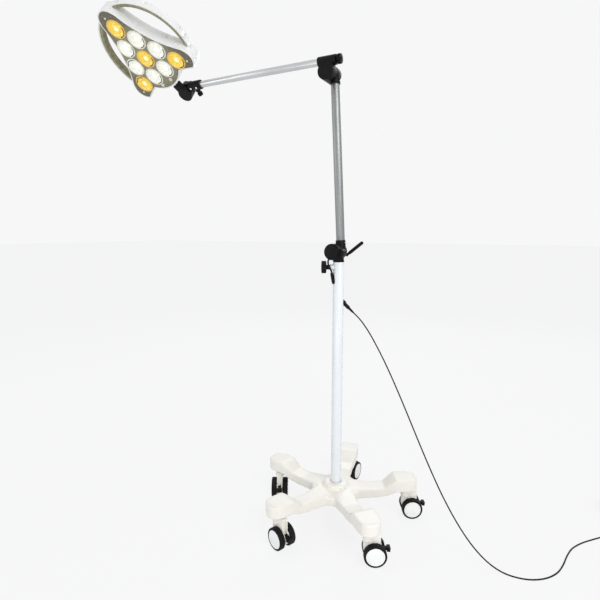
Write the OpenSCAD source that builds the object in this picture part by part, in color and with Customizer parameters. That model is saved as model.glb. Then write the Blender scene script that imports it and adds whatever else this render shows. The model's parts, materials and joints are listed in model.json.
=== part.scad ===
/* [Castor base] */
// Distance from the column axis to each castor stem
castor_circle = 220; // [200:1:265]
// Angle of the first leg, the other four follow every 72 degrees
leg_phase = 28.7; // [0:0.1:71]
// Height of the top face of the pad over each castor
pad_top = 130; // [126:1:140]
// Height of the under face of the pad
pad_bottom = 92; // [91:1:96]
// Half width of a leg where it meets the hub
leg_root_half_width = 36; // [30:1:40]
// Half width of a leg at its narrowest
leg_waist_half_width = 25; // [24:1:32]
// Half width of the pad at the end of a leg
pad_half_width = 32; // [28:1:38]
// Radius of the raised boss round the column
hub_boss_r = 38; // [32:1:44]
// Height of the top of that boss
hub_top = 119; // [116:1:126]
// Wall of the moulded base
base_wall = 4; // [3:0.5:5]

/* [Castors] */
// Diameter of the castor wheels
wheel_d = 63; // [52:1:68]
// Width of one tyre
tyre_w = 17; // [14:1:19]
// Radial thickness of the tyre
tyre_t = 6; // [3:0.5:7]
// Width of the housing between the two wheels
housing_w = 18; // [16:1:20]
// Distance from the swivel axis to the wheel axle
castor_trail = 18; // [14:1:22]
// Diameter of the castor stem
stem_d = 11; // [9:1:12]

/* [Column] */
// Outside diameter of the column tube
column_d = 32; // [28:1:36]
// Wall of the column tube
column_wall = 1.5; // [1.2:0.1:2.5]
// Height of the top of the column tube
column_top = 801; // [660:1:965]

/* [Arms] */
// Outside diameter of the post tube
post_d = 25; // [20:0.5:30]
// Outside diameter of the boom tube
boom_d = 20; // [16:0.5:24]
// Wall of the post and boom tubes
arm_wall = 1.5; // [1:0.1:2]
// Distance between the tilt hinge and the elbow hinge
post_reach = 493; // [440:1:600]
// Distance from the elbow hinge to the wrist hinge, along the boom
boom_reach = 509; // [440:1:620]
// How far the post leans at rest, in degrees
post_lean = 2.9; // [0:0.1:6]

/* [Hinges] */
// Radius of the two discs of each arm hinge
disc_r = 23.5; // [22:0.5:29]
// Wall of a hinge socket round the post tube
socket_wall = 2; // [1.6:0.1:3]
// Radius of the wrist hinge discs
wrist_disc_r = 23; // [21:0.5:25]
// Thickness of each half of the wrist hinge
wrist_half_t = 20; // [18:1:22]
// Diameter of the hinge bolts
bolt_d = 10; // [8:0.5:11]
// Roll of the wrist about the boom at rest, in degrees
wrist_roll = 53.4; // [40:0.1:65]
// Angle of the head's neck away from square to the boom, in degrees
neck_angle = 16.4; // [10:0.1:25]

/* [Head] */
// Pitch of the ten lenses
lens_pitch = 61; // [58:0.1:74]
// Diameter of one lens
lens_d = 50; // [44:1:52]
// Depth of the head from its face to its back
head_depth = 44; // [43:1:53]
// Wall of the head shell
head_wall = 3; // [2:0.5:4]
// Distance from the wrist hinge to the near edge of the head
head_gap = 46; // [46:1:52]
// Outside radius of the ring handle
ring_r = 157; // [154:1:160]
// Radial thickness of the ring handle
ring_t = 14; // [12:1:16]
// Depth of the ring handle, front to back
ring_depth = 22; // [14:1:22]
// Diameter of the two push buttons
button_d = 12; // [10:0.5:13]

/* [Fits] */
// Radial clearance of pins and shafts that turn
fit = 0.05; // [0.03:0.01:0.1]
// Gap between the faces of parts that move past each other
face_gap = 0.3; // [0.2:0.05:0.4]

/* [Hidden] */
BLACK = "#1b1c1d";
WHITE = "#eceae1";
KHAKI = "#8d8a72";
STEEL = "#b9bcc0";

// Column and base
column_r = column_d / 2;
column_bore_r = column_r - column_wall;
leg_bottom = 72;
hub_r = 74;
hub_plate_top = 100;
ballast_bottom = 76;
ballast_t = hub_plate_top - base_wall - ballast_bottom;
ballast_r = 66;
ballast_bar_half_w = 18;
ballast_bar_end = 148;
column_foot = ballast_bottom + ballast_t;
column_plug_t = 40;
column_bolt_r = 6;

// Castors, each turned as it was left after the last push
castor_turn = [27, 87, -63, -23, 27];
wheel_r = wheel_d / 2;
disc_face_r = wheel_r - tyre_t;
axle_r = 4;
stem_r = stem_d / 2;
stem_in = 30;
castor_top = pad_bottom - face_gap;
pedal_pin_x = 21;
pedal_pin_z = 10;
pedal_pin_r = 2.5;
pedal_half_w = 5;
pedal_slot_half_w = pedal_half_w + face_gap;

// Hinge centres
post_r = post_d / 2;
post_socket_r = post_r + socket_wall;
half_t = 2 * (post_socket_r + 0.5);
tilt_x = -9.5;
tilt_z = column_top + disc_r + 6.5;
post_axis = 10;
post_y = half_t / 2;
boom_y = -half_t / 2;
boom_rise = 28;
elbow_x = tilt_x - post_reach * sin(post_lean);
elbow_z = tilt_z + post_reach * cos(post_lean);
wrist_drop = 15;
bolt_r = bolt_d / 2;
bolt_bore_r = bolt_r + fit;
boom_r = boom_d / 2;
boom_socket_r = half_t / 2 - 1.5;
post_socket_top = 32;
post_socket_end = 27;
post_tube_start = 8;
post_screw_z = 24;
post_screw_r = 3;
wrist_screw_r = 3.2;
boom_socket_in = 28;
boom_socket_out = 26;
wrist_socket_len = 44;
wrist_socket_gap = wrist_disc_r + 1;
wrist_socket_r = boom_r + 4;
spigot_len = 60;
bush_wall = 1.2;
spigot_r = column_bore_r - bush_wall - fit;

// Star knob, cable boot and power socket on the column
knob_z = column_top - 15;
knob_turn = 207.8;
knob_screw_r = 4;
knob_boss_r = 9;
knob_boss_out = column_r + 8;
knob_head_out = column_r + 20;
knob_head_t = 14;
knob_head_r = 18.5;
lever_len = 58;
boot_turn = 232;
boot_z = column_top - 56;
socket_turn = 27.8;
socket_z = column_top - 116;
socket_start = column_r - 4;
pin_hole_r = 2.8;
plug_start = 10.6;

// Head: x towards the button end of the third side, y back from the face, z away from the wrist
face_back = 26.3;
corner_r = 36;
corner_out = round(lens_pitch * sqrt(3) + 21.3);
side_curve_r = 320;
rim_w = 4;
ledge_w = 3;
panel_t = 3;
ring_front = 21;
grip_t = 0.6 * ring_t;
stud_r = 5;
stud_y = face_back - wrist_half_t / 2;
lens_r = lens_d / 2;
lens_hole_r = lens_r + 0.3;
lens_row = lens_pitch * sqrt(3) / 2;
lens_clear = side_curve_r + lens_hole_r + rim_w + ledge_w + 0.5;
side_in = sqrt(lens_clear ^ 2 - (lens_pitch / 2) ^ 2) - side_curve_r + lens_row;
heel_in = sqrt(lens_clear ^ 2 - (1.5 * lens_pitch) ^ 2) - side_curve_r + lens_row;
lens_depth = 12;
board_gap = 0.5;
button_r = button_d / 2;
button_hole_r = button_r + 0.3;
button_web = 2;
button_z = -(lens_row + lens_hole_r + button_web + button_hole_r);
button_power_x = -30;
button_tone_x = 15;
lobe_r = ceil(norm([button_power_x, button_z]) + button_hole_r + rim_w + ledge_w + 0.5);
head_reach = lobe_r + head_gap;
screw_out = corner_out + 15;
WARM = [[0, 0], [3, 0], [0, 3], [1, 1]];
COOL = [[1, 0], [0, 1], [2, 0], [0, 2], [2, 1], [1, 2]];

// The power cord's own route: out of the plug, down to the floor and along it
cord_r = 2;
CORD = [
    [40.8, 21.5, 650.8], [60, 32, 628], [84, 40, 592], [112, 44, 544], [142, 44, 490],
    [174, 42, 428], [208, 38, 360], [244, 32, 288], [282, 24, 216], [322, 14, 148],
    [364, 2, 90], [406, -11, 46], [448, -22, 17], [488, -29, 4], [526, -29, 2],
    [562, -18, 2], [594, 6, 2], [618, 40, 2], [632, 80, 2], [642, 122, 2],
    [656, 164, 2], [680, 202, 2], [710, 236, 2], [742, 270, 2], [766, 302, 2],
    [776, 338.2, 2]
];
cord_steps = 3;
coil_at = [801, 358];
coil_r = 25;
coil_half_w = 5;
coil_h = 12.5;
adapter_size = [72, 44, 30];
adapter_relief = 14;
adapter_relief_z = 10;
coil_gap = 20.6;
adapter_at = coil_at + [-coil_r, coil_gap + adapter_relief + adapter_size[0] / 2];

// The short cable from the tilt hinge into the column
link_r = 2.5;
LINK = [
    [-22.8, -18.2, 810], [-24, -20, 806], [-23, -23, 798], [-19, -25, 789],
    [-15.6, -22, 780], [-13.5, -17.3, 772]
];
link_steps = 3;

// ---- shared shapes ----

// A cylinder along Y, from y0 to y1
module rod_y(r, y0, y1) {
    translate([0, y1, 0]) rotate([90, 0, 0]) cylinder(r = r, h = y1 - y0, $fn = 64);
}

// A cylinder along X, from x0 to x1
module rod_x(r, x0, x1) {
    translate([x0, 0, 0]) rotate([0, 90, 0]) cylinder(r = r, h = x1 - x0, $fn = 64);
}

// A cylinder with small chamfers, along Z from 0 to h
module soft_rod(r, h, c) {
    rotate_extrude($fn = 64)
        polygon([[0, 0], [r - c, 0], [r, c], [r, h - c], [r - c, h], [0, h]]);
}

// A flat outline in x and z, made solid from y0 to y1
module slab(y0, y1) {
    translate([0, y1, 0]) rotate([90, 0, 0]) linear_extrude(y1 - y0) children();
}

// Catmull-Rom point between b and c
function spline(a, b, c, d, t) =
    0.5 * (2 * b + (c - a) * t + (2 * a - 5 * b + 4 * c - d) * t * t
        + (3 * b - 3 * c + d - a) * t * t * t);
function at(p, i) = p[max(0, min(len(p) - 1, i))];
function path(p, n) = concat(
    [for (i = [0 : len(p) - 2], s = [0 : n - 1])
        spline(at(p, i - 1), at(p, i), at(p, i + 1), at(p, i + 2), s / n)],
    [p[len(p) - 1]]);
function unit(v) = v / norm(v);
function along(p, i) = unit(at(p, i + 1) - at(p, i - 1));
// A ring of n points of radius r round point c, square to direction u
function ring(c, u, r, n, aside) =
    let (side = unit(cross(u, aside)), up = cross(side, u))
    [for (k = [0 : n - 1]) c + r * (cos(360 * k / n) * side + sin(360 * k / n) * up)];

// A tube swept along a route that never runs the way the vector aside points
module sweep(p, r, n, aside) {
    m = len(p);
    points = [for (i = [0 : m - 1]) each ring(p[i], along(p, i), r, n, aside)];
    sides = [for (i = [0 : m - 2], k = [0 : n - 1])
        [i * n + k, i * n + (k + 1) % n, (i + 1) * n + (k + 1) % n, (i + 1) * n + k]];
    first = [[for (k = [n - 1 : -1 : 0]) k]];
    last = [[for (k = [0 : n - 1]) (m - 1) * n + k]];
    polyhedron(points, concat(sides, first, last));
}

// ---- frames of the arm chain ----

module in_post() {
    translate([tilt_x, 0, tilt_z]) rotate([0, -post_lean, 0]) children();
}
module in_boom() {
    translate([elbow_x, 0, elbow_z]) children();
}
// On the boom axis, abreast of the wrist hinge, rolled as the wrist is
module in_wrist() {
    in_boom() translate([-boom_reach, boom_y, boom_rise]) rotate([wrist_roll, 0, 0]) children();
}
module in_neck() {
    in_wrist() translate([0, 0, -wrist_drop]) rotate([0, -neck_angle, 0]) children();
}
module in_head() {
    in_neck() translate([0, -face_back, head_reach]) children();
}

// ---- base ----

module for_legs() {
    for (k = [0 : 4]) rotate(leg_phase + 72 * k) children();
}

module leg_plan(inset) {
    w0 = leg_root_half_width - inset;
    w1 = leg_waist_half_width - inset;
    w2 = pad_half_width - inset;
    end = castor_circle + 34 - inset;
    half = [[20, w0], [70, w0 - 6], [110, w1], [150, w1], [182, w2], [castor_circle, w2],
        [end - 14, w2 - 4], [end - 4, w2 - 14], [end, w2 - 24]];
    polygon(concat(half, [for (i = [len(half) - 1 : -1 : 0]) [half[i][0], -half[i][1]]]));
}

module leg_side(inset) {
    top = [[0, 106 - inset], [60, 104 - inset], [110, 100 - inset], [150, 103 - inset],
        [176, pad_top - 6 - inset], [186, pad_top - inset], [castor_circle + 26, pad_top - inset],
        [castor_circle + 36, pad_top - 6 - inset]];
    under = inset > 0
        ? [[castor_circle + 36, leg_bottom - 1], [0, leg_bottom - 1]]
        : [[castor_circle + 36, pad_bottom], [184, pad_bottom], [158, leg_bottom + 6],
            [130, leg_bottom], [0, leg_bottom]];
    polygon(concat(top, under));
}

module leg(inset) {
    intersection() {
        translate([0, 0, 40]) linear_extrude(120) leg_plan(inset);
        translate([0, 60, 0]) rotate([90, 0, 0]) linear_extrude(120) leg_side(inset);
    }
}

module base_shell() {
    color(WHITE) difference() {
        union() {
            for_legs() leg(0);
            translate([0, 0, leg_bottom + 1.5])
                cylinder(r = hub_r, h = hub_plate_top - leg_bottom - 1.5, $fn = 80);
            translate([0, 0, column_foot]) soft_rod(hub_boss_r, hub_top - column_foot, 5);
        }
        for_legs() intersection() {
            leg(base_wall);
            translate([0, 0, leg_bottom - 2]) cylinder(r = 176, h = 32 - base_wall, $fn = 80);
        }
        translate([0, 0, leg_bottom - 1])
            cylinder(r = hub_r - base_wall, h = column_foot - leg_bottom + 1, $fn = 80);
        cylinder(r = column_r + 0.1, h = 200, $fn = 80);
        for_legs() translate([castor_circle, 0, pad_bottom - 1])
            cylinder(r = stem_r + fit, h = stem_in + 2, $fn = 48);
    }
}

module ballast_plate() {
    color("#4a4b4d") translate([0, 0, ballast_bottom]) linear_extrude(ballast_t) difference() {
        union() {
            circle(r = ballast_r, $fn = 80);
            for_legs() translate([0, -ballast_bar_half_w])
                square([ballast_bar_end, 2 * ballast_bar_half_w]);
        }
        circle(r = column_bolt_r + 0.3, $fn = 48);
    }
}

module column_bolt() {
    color(STEEL) {
        translate([0, 0, ballast_bottom - 7]) cylinder(r = 11, h = 7, $fn = 6);
        translate([0, 0, ballast_bottom - 0.5]) cylinder(r = column_bolt_r, h = 46, $fn = 48);
    }
}

// ---- column ----

module column_tube() {
    color("#e9ebec") difference() {
        union() {
            translate([0, 0, column_foot]) cylinder(r = column_r, h = column_top - column_foot, $fn = 80);
            rotate(knob_turn) translate([0, 0, knob_z]) rod_x(knob_boss_r, column_r - 4, knob_boss_out);
        }
        translate([0, 0, column_foot + column_plug_t])
            cylinder(r = column_bore_r, h = column_top - column_foot, $fn = 80);
        translate([0, 0, column_foot - 1])
            cylinder(r = column_bolt_r + fit, h = column_plug_t + 2, $fn = 48);
        rotate(knob_turn) translate([0, 0, knob_z]) rod_x(knob_screw_r + fit, 0, 60);
        rotate(boot_turn) translate([0, 0, boot_z]) rod_x(4, 0, 60);
        rotate(socket_turn) translate([0, 0, socket_z]) rod_x(6, 0, 60);
        in_socket() rod_x(pin_hole_r, 1, 40);
    }
}

module column_bush() {
    color(BLACK) difference() {
        translate([0, 0, column_top - spigot_len])
            cylinder(r = column_bore_r - 0.02, h = spigot_len, $fn = 80);
        translate([0, 0, column_top - spigot_len - 1])
            cylinder(r = spigot_r + fit, h = spigot_len + 2, $fn = 80);
        rotate(knob_turn) translate([0, 0, knob_z]) rod_x(knob_screw_r + fit, 0, 60);
    }
}

// The socket's own axis, which slopes down and away from the column
module in_socket() {
    rotate(socket_turn) translate([socket_start, 0, socket_z]) rotate([0, 45, 0]) children();
}

module power_socket() {
    color(BLACK) difference() {
        union() {
            rotate(socket_turn) translate([0, 0, socket_z])
                rod_x(5.9, column_bore_r - 9, column_r + 1);
            difference() {
                in_socket() rod_x(7.5, -4, plug_start - 0.3);
                translate([0, 0, socket_z]) cylinder(r = column_r + 0.02, h = 60, center = true, $fn = 80);
            }
        }
        in_socket() rod_x(pin_hole_r, 1, 40);
    }
}

module dc_plug() {
    color(BLACK) in_socket() {
        rod_x(pin_hole_r - 0.1, 2, plug_start + 2);
        translate([plug_start, 0, 0]) rotate([0, 90, 0]) soft_rod(5.5, 28.2 - plug_start, 1);
        translate([28, 0, 0]) rotate([0, 90, 0]) cylinder(r1 = 4, r2 = 2.6, h = 20, $fn = 48);
    }
}

module cable_boot() {
    color(BLACK) difference() {
        rotate(boot_turn) translate([column_r - 2, 0, boot_z - 6]) rotate([0, 16, 0]) union() {
            cylinder(r1 = 6, r2 = 3.8, h = 33, $fn = 48);
            for (i = [0 : 4]) translate([0, 0, 6 + 5 * i])
                cylinder(r = 6.6 - 0.4 * i, h = 2.2, $fn = 48);
        }
        translate([0, 0, boot_z - 40]) cylinder(r = column_r + 0.02, h = 80, $fn = 80);
    }
}

module power_cord() {
    color(BLACK) sweep(path(CORD, cord_steps), cord_r, 8, [0.13, -0.42, 0.9]);
}

module power_cord_coil() {
    color(BLACK) translate([coil_at[0], coil_at[1], 0]) rotate_extrude($fn = 64)
        translate([coil_r - coil_half_w, 0]) square([2 * coil_half_w, coil_h]);
}

module mains_adapter() {
    color(BLACK) translate([adapter_at[0], adapter_at[1], 0]) rotate(90) {
        translate([0, 0, adapter_size[2] / 2]) cube(adapter_size, center = true);
        for (s = [-1, 1])
            translate([adapter_size[0] / 2, 9.5 * s, adapter_size[2] / 2]) rod_x(2.4, -1, 19);
        translate([-adapter_size[0] / 2, 0, adapter_relief_z]) rotate([0, -90, 0])
            cylinder(r1 = 4.5, r2 = 2.6, h = adapter_relief, $fn = 48);
    }
}

module clamp_knob() {
    color(BLACK) rotate(knob_turn) translate([0, 0, knob_z]) {
        difference() {
            union() {
                rod_x(knob_head_r - 3, knob_head_out, knob_head_out + knob_head_t);
                for (k = [0 : 6]) rotate([360 / 7 * k, 0, 0])
                    translate([0, 0, knob_head_r - 5])
                    rod_x(5, knob_head_out + 0.5, knob_head_out + knob_head_t - 0.5);
                rod_x(7, knob_boss_out + face_gap, knob_head_out + 1);
                rod_x(knob_screw_r, spigot_r + 0.1, knob_head_out);
            }
            rod_x(5.5, knob_head_out + knob_head_t - 1.5, knob_head_out + knob_head_t + 1);
        }
    }
}

// ---- tilt hinge ----

module tilt_base() {
    color(BLACK) difference() {
        union() {
            translate([0, 0, column_top - spigot_len + 5])
                cylinder(r = spigot_r, h = spigot_len - 4, $fn = 80);
            translate([0, 0, column_top + face_gap]) soft_rod(column_r + 0.5, 5, 0.8);
            intersection() {
                translate([0, 0, column_top + 2]) cylinder(r = column_r + 0.5, h = 30, $fn = 80);
                translate([-30, -40, column_top]) cube([60, 40 - face_gap / 2, 40]);
            }
            translate([tilt_x, 0, tilt_z]) rod_y(disc_r, -half_t, -face_gap / 2);
            translate([12, 0, tilt_z - 4]) rod_y(13, -24, -face_gap / 2);
        }
        translate([tilt_x, 0, tilt_z]) rod_y(bolt_bore_r, -half_t - 1, 1);
        translate([tilt_x, 0, tilt_z]) rod_y(disc_r - 3.5, -half_t - 1, -half_t + 3);
        translate([16, 0, tilt_z - 4]) rod_y(3, -25, -16);
        translate([0, 0, column_top - spigot_len]) cylinder(r = 8, h = spigot_len, $fn = 48);
    }
    color(STEEL) translate([16, 0, tilt_z - 4]) rod_y(5, -25.6, -24);
}

module tilt_bolt() {
    color(STEEL) translate([tilt_x, 0, tilt_z]) {
        rod_y(8, -half_t + 0.2, -half_t + 2.95);
        rod_y(bolt_r, -half_t + 1, half_t + 15);
    }
}

module tilt_cap() {
    color(BLACK) translate([tilt_x, 0, tilt_z]) difference() {
        translate([0, -half_t - 3, 0]) rotate([-90, 0, 0]) soft_rod(disc_r - 3.6, 6, 1.5);
        rod_y(9, -half_t - 0.5, -half_t + 8);
    }
}

module link_cable() {
    color(BLACK) sweep(path(LINK, link_steps), link_r, 10, [1, 0.2, 0]);
}

module clamp_lever() {
    color(BLACK) translate([tilt_x, 0, tilt_z]) difference() {
        union() {
            rod_y(9, half_t + face_gap, half_t + 14);
            rotate([0, 28, 0]) translate([0, half_t + 4, -3.5]) cube([26, 7, 7]);
            translate([20, half_t + 7.5, -11]) rotate([0, -38, 0]) {
                rod_x(4, -2, lever_len);
                translate([lever_len, 0, 0]) sphere(r = 5, $fn = 40);
                rod_x(5, 10, lever_len);
            }
        }
        rod_y(bolt_bore_r, half_t, half_t + 11);
        rod_y(bolt_bore_r + 2, half_t + 10, half_t + 16);
    }
}

// ---- post ----

module post_half(up) {
    rod_y(disc_r, face_gap / 2, half_t);
    translate([post_axis, post_y, 0]) mirror([0, 0, up > 0 ? 0 : 1])
        cylinder(r = post_socket_r, h = abs(up), $fn = 64);
}

module tilt_arm() {
    color(BLACK) in_post() difference() {
        post_half(post_socket_top);
        rod_y(bolt_bore_r, -1, half_t + 1);
        translate([post_axis, post_y, post_tube_start]) cylinder(r = post_r + 0.02, h = 80, $fn = 64);
        post_screw_at(post_screw_z, post_screw_r + fit);
    }
}

module post_tube() {
    color("#c4c7ca") in_post() translate([post_axis, post_y, post_tube_start]) difference() {
        cylinder(r = post_r, h = post_reach - 2 * post_tube_start, $fn = 64);
        translate([0, 0, -1]) cylinder(r = post_r - arm_wall, h = post_reach, $fn = 64);
    }
}

module post_screw_at(z, r) {
    translate([post_axis, post_y, z]) rod_x(r, post_r + 0.3, post_socket_r + 2.5);
}

module post_screws() {
    color(STEEL) in_post() for (z = [post_screw_z, post_reach - 20]) post_screw_at(z, post_screw_r);
}

module elbow_base() {
    color(BLACK) in_post() translate([0, 0, post_reach]) difference() {
        post_half(-post_socket_end);
        rod_y(bolt_bore_r, -1, half_t + 1);
        translate([post_axis, post_y, -post_tube_start - 80]) cylinder(r = post_r + 0.02, h = 80, $fn = 64);
        post_screw_at(-20, post_screw_r + fit);
    }
}

module elbow_bolt() {
    color(STEEL) in_boom() {
        rod_y(bolt_r, -half_t + 4, half_t + 9);
        rod_y(8, half_t + face_gap, half_t + 8);
    }
}

// ---- boom ----

module boom_knob() {
    color(BLACK) in_boom() translate([boom_socket_in, boom_y, boom_rise]) difference() {
        union() {
            rod_x(9, face_gap, 5);
            rod_x(11.5, 4, 14);
            for (k = [0 : 11]) rotate([30 * k, 0, 0]) translate([0, 0, 11.3]) rod_x(1.8, 4.5, 13.5);
            rod_x(4, -6, 1);
        }
        rod_x(4, 12.5, 20);
    }
    color(STEEL) in_boom() translate([boom_socket_in, boom_y, boom_rise]) rod_x(3.9, 12.6, 15.5);
}

module elbow_arm() {
    color(BLACK) in_boom() difference() {
        union() {
            translate([0, -half_t, 0]) rotate([-90, 0, 0]) soft_rod(disc_r, half_t - face_gap / 2, 1.5);
            translate([0, boom_y, boom_rise]) rod_x(boom_socket_r, -boom_socket_out, boom_socket_in);
            translate([-disc_r + 4, -half_t + 3, 0]) cube([2 * disc_r - 8, half_t - 6, boom_rise]);
        }
        rod_y(bolt_bore_r, -half_t + 4, 1);
        translate([0, boom_y, boom_rise]) rod_x(boom_r + 0.02, -60, boom_socket_in - 10);
        translate([0, boom_y, boom_rise]) rod_x(4 + fit, 0, 60);
    }
}

module boom_tube() {
    color("#c4c7ca") in_boom() translate([0, boom_y, boom_rise]) difference() {
        rod_x(boom_r, -boom_reach + wrist_socket_gap + 4, boom_socket_in - 10.2);
        rod_x(boom_r - arm_wall, -boom_reach, boom_socket_in);
    }
}

// ---- wrist ----

module wrist_screws_at(r, y1) {
    for (x = [wrist_socket_gap + 9, wrist_socket_gap + 31])
        translate([x, 0, 0]) rod_y(r, -wrist_socket_r - 1.2, y1);
}

module wrist_base() {
    color(BLACK) in_wrist() difference() {
        union() {
            rod_x(wrist_socket_r, wrist_socket_gap, wrist_socket_gap + wrist_socket_len);
            translate([0, 0, -wrist_drop]) rod_y(wrist_disc_r, face_gap / 2, wrist_half_t);
            translate([0, face_gap / 2, -wrist_drop]) cube([wrist_socket_gap + 6, 13, wrist_drop + 10]);
            translate([wrist_socket_gap + 20, 0, 0]) rotate([180, 0, 0]) cylinder(r = 8, h = 20, $fn = 48);
        }
        rod_x(boom_r + fit, wrist_socket_gap + 3.8, 120);
        translate([0, 0, -wrist_drop]) rod_y(bolt_bore_r, -1, wrist_half_t + 1);
        translate([wrist_socket_gap + 20, 0, 0]) rotate([180, 0, 0]) cylinder(r = 3.05, h = 40, $fn = 48);
        wrist_screws_at(wrist_screw_r + fit, 0);
    }
}

module wrist_bolt() {
    color(STEEL) in_wrist() translate([0, 0, -wrist_drop]) {
        rod_y(bolt_r, -wrist_half_t + 3, wrist_half_t + 7);
        rod_y(7.5, wrist_half_t + face_gap, wrist_half_t + 6);
    }
}

module wrist_knob() {
    color(BLACK) in_wrist() translate([wrist_socket_gap + 20, 0, 0]) rotate([180, 0, 0]) {
        translate([0, 0, boom_r + 0.2]) cylinder(r = 3, h = 16, $fn = 48);
        translate([0, 0, 20.3]) cylinder(r = 6, h = 6, $fn = 48);
        translate([0, 0, 26]) soft_rod(8.5, 10, 1);
    }
}

module wrist_screws() {
    color(STEEL) in_wrist() wrist_screws_at(wrist_screw_r, -boom_r - 0.3);
}

module neck_yoke() {
    color(BLACK) in_neck() difference() {
        union() {
            translate([0, -wrist_half_t, 0]) rotate([-90, 0, 0])
                soft_rod(wrist_disc_r, wrist_half_t - face_gap / 2, 1.5);
            translate([-11, -wrist_half_t, 0]) cube([22, wrist_half_t - face_gap / 2, 41]);
        }
        rod_y(bolt_bore_r, -wrist_half_t + 3, 1);
        translate([0, -wrist_half_t / 2, 14]) cylinder(r = stud_r + fit, h = 40, $fn = 48);
    }
}

// ---- head ----

module head_stud() {
    color(STEEL) in_neck() translate([0, -wrist_half_t / 2, 0]) {
        translate([0, 0, 15]) cylinder(r = stud_r, h = head_reach - lobe_r + 12 - 15, $fn = 48);
        translate([0, 0, 41 + face_gap])
            cylinder(r = 9, h = head_reach - lobe_r - 41.1 - face_gap, $fn = 48);
    }
}

// Outline of the head's body: three round corners, two hollow sides and a round lobe at the wrist
module head_outline() {
    difference() {
        union() {
            hull() for (a = [90, 210, 330])
                rotate(a) translate([corner_out, 0]) circle(r = corner_r, $fn = 48);
        }
        for (a = [30, 150]) rotate(a)
            translate([side_in + side_curve_r, 0]) circle(r = side_curve_r, $fn = 160);
        rotate(270) translate([heel_in + side_curve_r, 0]) circle(r = side_curve_r, $fn = 160);
    }
    intersection() {
        circle(r = lobe_r, $fn = 96);
        translate([-84, -lobe_r]) square([168, lobe_r - 30]);
    }
}

module head_outline_in(inset) {
    offset(delta = -inset) head_outline();
}

module ring_arc(r0, r1, y0, y1, a0, a1) {
    translate([0, y1, 0]) rotate([90, 0, 0]) rotate(a0)
        rotate_extrude(angle = a1 - a0, $fn = 160)
        translate([r0, 0]) square([r1 - r0, y1 - y0]);
}

module head_shell() {
    color(WHITE) in_head() difference() {
        union() {
            slab(0.5, head_depth) head_outline();
            ring_arc(ring_r - ring_t + grip_t, ring_r, ring_front, ring_front + ring_depth, -31, 211);
        }
        slab(-1, panel_t + 0.2) head_outline_in(rim_w);
        difference() {
            slab(panel_t, head_depth - head_wall) head_outline_in(rim_w + ledge_w);
            translate([0, stud_y, -lobe_r]) cylinder(r = 9, h = 14, $fn = 48);
        }
        translate([0, stud_y, -lobe_r - 2]) cylinder(r = stud_r + 0.02, h = 14, $fn = 48);
        translate([0, stud_y, -lobe_r - 10]) cylinder(r = 9.3, h = 10.6, $fn = 48);
    }
}

module handle_grips() {
    color(KHAKI) in_head() difference() {
        for (a = [-15, 105])
            ring_arc(ring_r - ring_t, ring_r - ring_t + grip_t - face_gap,
                ring_front, ring_front + ring_depth, a, a + 90);
        slab(ring_front - 1, ring_front + ring_depth + 1) offset(delta = face_gap) head_outline();
    }
}

function lens_at(ij) = let (a = sqrt(3) * lens_pitch)
    [(ij[0] - ij[1]) * lens_pitch / 2, a - (ij[0] + ij[1]) * lens_pitch * sqrt(3) / 2];

module face_panel() {
    color(KHAKI) in_head() difference() {
        slab(0, panel_t) head_outline_in(rim_w + 0.2);
        for (ij = concat(WARM, COOL)) translate([lens_at(ij)[0], 0, lens_at(ij)[1]])
            rod_y(lens_hole_r, -1, panel_t + 1);
        for (x = [button_power_x, button_tone_x]) translate([x, 0, button_z])
            rod_y(button_hole_r, -1, panel_t + 1);
        for (a = [90, 210, 330])
            translate([screw_out * cos(a), 0, screw_out * sin(a)]) rod_y(2, -1, panel_t + 1);
    }
}

module lenses(places) {
    in_head() for (ij = places) translate([lens_at(ij)[0], 0, lens_at(ij)[1]]) {
        translate([0, lens_depth, 0]) rotate([90, 0, 0]) soft_rod(lens_r, lens_depth + 1.5, 1.2);
    }
}

module lenses_warm() {
    color("#f2c24a") lenses(WARM);
}

module lenses_cool() {
    color("#f4f6fb") lenses(COOL);
}

module led_board() {
    color("#3c7a4e") in_head() difference() {
        slab(lens_depth + board_gap, lens_depth + board_gap + 2) intersection() {
            head_outline_in(rim_w + ledge_w + 4);
            translate([-200, -78]) square([400, 400]);
        }
        for (a = [90, 210, 330])
            translate([120 * cos(a), 0, 120 * sin(a)]) rod_y(2, 0, 40);
    }
}

module face_screws() {
    color(STEEL) in_head() for (a = [90, 210, 330])
        translate([screw_out * cos(a), 0, screw_out * sin(a)]) {
            rod_y(3.5, -1.4, -0.1);
            rod_y(1.9, -0.5, panel_t);
        }
}

module button(x) {
    in_head() translate([x, 7, button_z]) rotate([90, 0, 0]) soft_rod(button_r, 10, 0.8);
}

module button_power() {
    color("#d9d6c4") button(button_power_x);
}

module button_tone() {
    color("#d9d6c4") button(button_tone_x);
}

// ---- castors ----

module castor_frame(k) {
    rotate(leg_phase + 72 * k) translate([castor_circle, 0, 0])
        rotate(castor_turn[k] - leg_phase - 72 * k) children();
}

module at_axle() {
    translate([castor_trail, 0, wheel_r]) children();
}

module castor_housing() {
    difference() {
        union() {
            at_axle() rod_y(25, -housing_w / 2, housing_w / 2);
            translate([-12, -housing_w / 2, 38]) cube([castor_trail + 28, housing_w, castor_top - 40]);
            translate([0, 0, castor_top - 26]) soft_rod(15, 26, 2);
            cylinder(r = stem_r, h = castor_top + stem_in, $fn = 48);
        }
        translate([-60, -20, -1]) cube([120, 40, 7.6]);
        at_axle() rod_y(axle_r + fit, -20, 20);
        at_axle() translate([pedal_pin_x - 9, -pedal_slot_half_w, -7])
            cube([40, 2 * pedal_slot_half_w, 60]);
    }
    at_axle() translate([pedal_pin_x, 0, pedal_pin_z])
        rod_y(pedal_pin_r, -housing_w / 2 + 1, housing_w / 2 - 1);
}

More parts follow.
